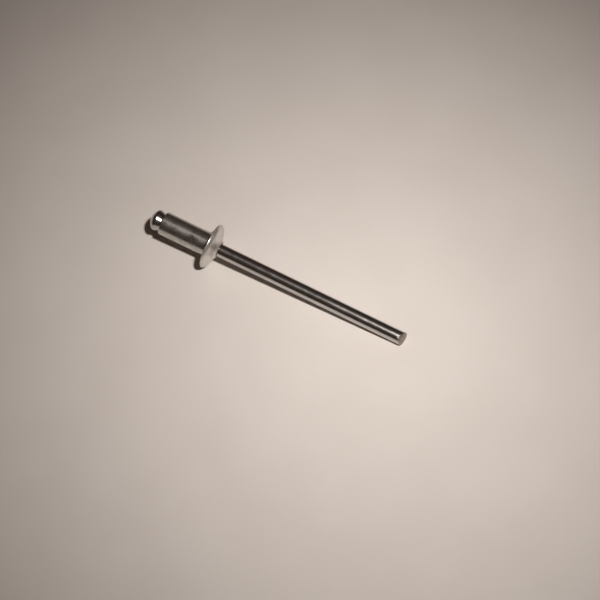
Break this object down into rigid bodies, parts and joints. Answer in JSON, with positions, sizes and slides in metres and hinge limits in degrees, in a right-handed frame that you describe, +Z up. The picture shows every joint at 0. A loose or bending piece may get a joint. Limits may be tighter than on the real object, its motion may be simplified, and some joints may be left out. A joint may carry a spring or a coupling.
{
  "type": "blind rivet",
  "caption": "Unset domed-head open-end blind rivet: a soft aluminium body with a low domed flange on a plain steel pulling mandrel, for joining sheets from one side.",
  "frame": {"origin": "on the floor under the middle of the lying rivet's box", "axes": "+X from the mandrel's head towards the sheared end of the stem, +Z up; the rivet lies on its flange's rim and the stem's end"},
  "size_m": [0.0372, 0.0062, 0.0063],
  "materials": {
    "aluminium": "bright cold-formed aluminium with fine handling marks",
    "steel": "zinc-plated drawn wire with fine lengthwise lines"
  },
  "bodies": {
    "root": {"rivet_body": "aluminium", "mandrel": "steel"}
  },
  "joints": []
}
